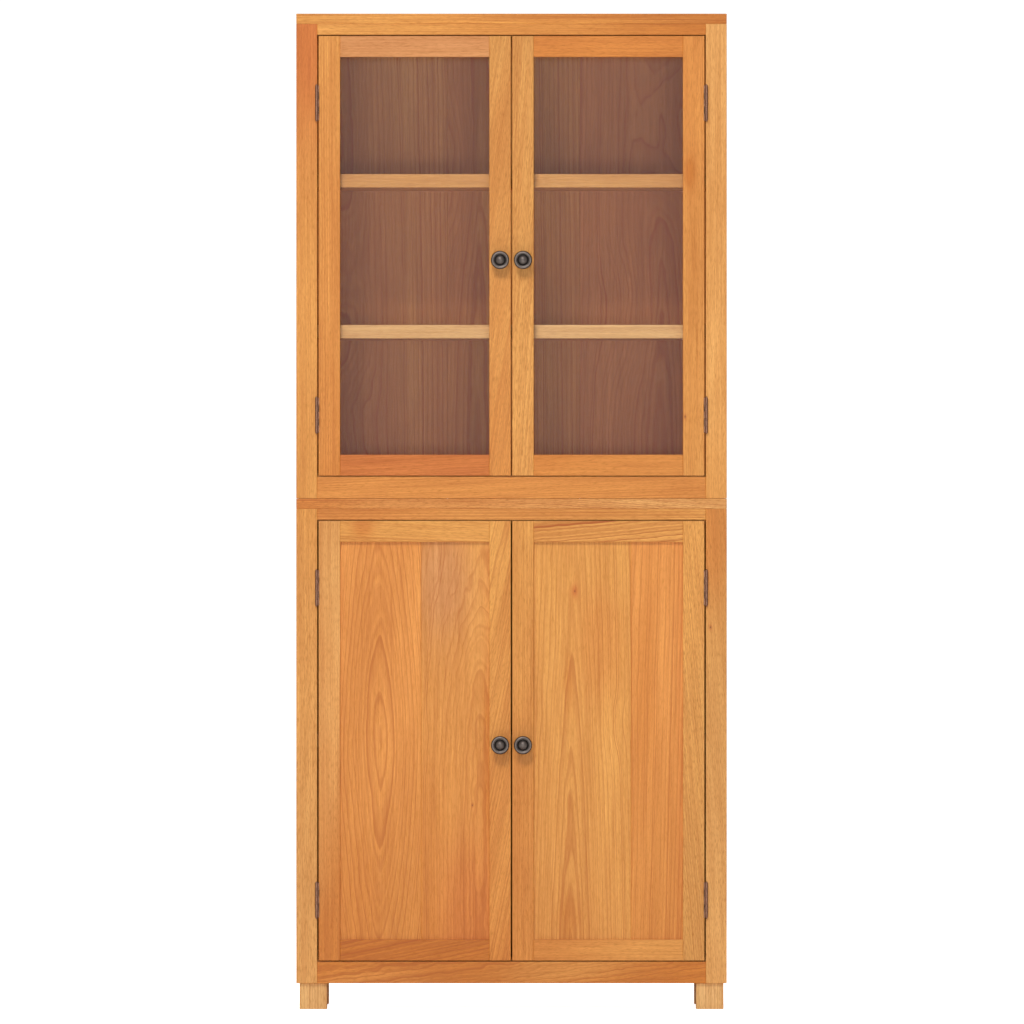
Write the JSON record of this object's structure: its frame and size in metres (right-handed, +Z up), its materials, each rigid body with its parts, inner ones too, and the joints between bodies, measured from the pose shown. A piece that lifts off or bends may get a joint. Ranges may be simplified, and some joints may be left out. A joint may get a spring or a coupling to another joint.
{
  "type": "pantry cabinet",
  "caption": "Tall two-module oak pantry cabinet: glazed double doors over shelves above, framed panel double doors below, round dark metal knobs, barrel hinges, short square feet.",
  "frame": {"origin": "on the floor, at the middle of the overall bounding box (the knobs stand 28 mm in front of the doors, so the case's middle is 14 mm behind the origin)", "axes": "+Z up, -Y out of the doors, +X to the right seen from the front"},
  "size_m": [0.8, 0.378, 1.85],
  "materials": {
    "oak": "oiled solid oak, satin, honey-coloured, mixed boards",
    "back_oak": "oak-faced back panel, satin, slightly darker",
    "smoked_glass": "clear glass with a faint brown tint",
    "antique_bronze": "dark antique bronze, worn bright on the high edges"
  },
  "bodies": {
    "case": {"lower_base": "oak", "lower_side_left": "oak", "lower_side_right": "oak", "lower_top_rail": "oak", "lower_top_board": "oak", "lower_back_panel": "back_oak", "upper_base": "oak", "upper_side_left": "oak", "upper_side_right": "oak", "upper_top_rail": "oak", "upper_top_board": "oak", "upper_back_panel": "back_oak", "lower_shelf": "oak", "upper_shelf_low": "oak", "upper_shelf_high": "oak", "foot_front_left": "oak", "foot_front_right": "oak", "foot_back_left": "oak", "foot_back_right": "oak", "lower_left_door_bottom_hinge_frame_leaf": "antique_bronze", "lower_left_door_top_hinge_frame_leaf": "antique_bronze", "lower_right_door_bottom_hinge_frame_leaf": "antique_bronze", "lower_right_door_top_hinge_frame_leaf": "antique_bronze", "upper_left_door_bottom_hinge_frame_leaf": "antique_bronze", "upper_left_door_top_hinge_frame_leaf": "antique_bronze", "upper_right_door_bottom_hinge_frame_leaf": "antique_bronze", "upper_right_door_top_hinge_frame_leaf": "antique_bronze"},
    "lower_left_door": {"lower_left_door_hinge_stile": "oak", "lower_left_door_knob_stile": "oak", "lower_left_door_top_rail": "oak", "lower_left_door_bottom_rail": "oak", "lower_left_door_panel": "oak", "lower_left_door_knob": "antique_bronze", "lower_left_door_bottom_hinge_door_leaf": "antique_bronze", "lower_left_door_top_hinge_door_leaf": "antique_bronze"},
    "lower_right_door": {"lower_right_door_hinge_stile": "oak", "lower_right_door_knob_stile": "oak", "lower_right_door_top_rail": "oak", "lower_right_door_bottom_rail": "oak", "lower_right_door_panel": "oak", "lower_right_door_knob": "antique_bronze", "lower_right_door_bottom_hinge_door_leaf": "antique_bronze", "lower_right_door_top_hinge_door_leaf": "antique_bronze"},
    "upper_left_door": {"upper_left_door_hinge_stile": "oak", "upper_left_door_knob_stile": "oak", "upper_left_door_top_rail": "oak", "upper_left_door_bottom_rail": "oak", "upper_left_door_glass": "smoked_glass", "upper_left_door_knob": "antique_bronze", "upper_left_door_bottom_hinge_door_leaf": "antique_bronze", "upper_left_door_top_hinge_door_leaf": "antique_bronze"},
    "upper_right_door": {"upper_right_door_hinge_stile": "oak", "upper_right_door_knob_stile": "oak", "upper_right_door_top_rail": "oak", "upper_right_door_bottom_rail": "oak", "upper_right_door_glass": "smoked_glass", "upper_right_door_knob": "antique_bronze", "upper_right_door_bottom_hinge_door_leaf": "antique_bronze", "upper_right_door_top_hinge_door_leaf": "antique_bronze"}
  },
  "joints": [
    {"name": "lower_left_door_hinge", "type": "hinge", "parent": "case", "child": "lower_left_door", "pos_m": [-0.3622, -0.1641, 0.499], "axis": [0, 0, -1], "range_deg": [0, 170]},
    {"name": "lower_right_door_hinge", "type": "hinge", "parent": "case", "child": "lower_right_door", "pos_m": [0.3622, -0.1641, 0.499], "axis": [0, 0, 1], "range_deg": [0, 170]},
    {"name": "upper_left_door_hinge", "type": "hinge", "parent": "case", "child": "upper_left_door", "pos_m": [-0.3622, -0.1641, 1.4], "axis": [0, 0, -1], "range_deg": [0, 170]},
    {"name": "upper_right_door_hinge", "type": "hinge", "parent": "case", "child": "upper_right_door", "pos_m": [0.3622, -0.1641, 1.4], "axis": [0, 0, 1], "range_deg": [0, 170]}
  ]
}
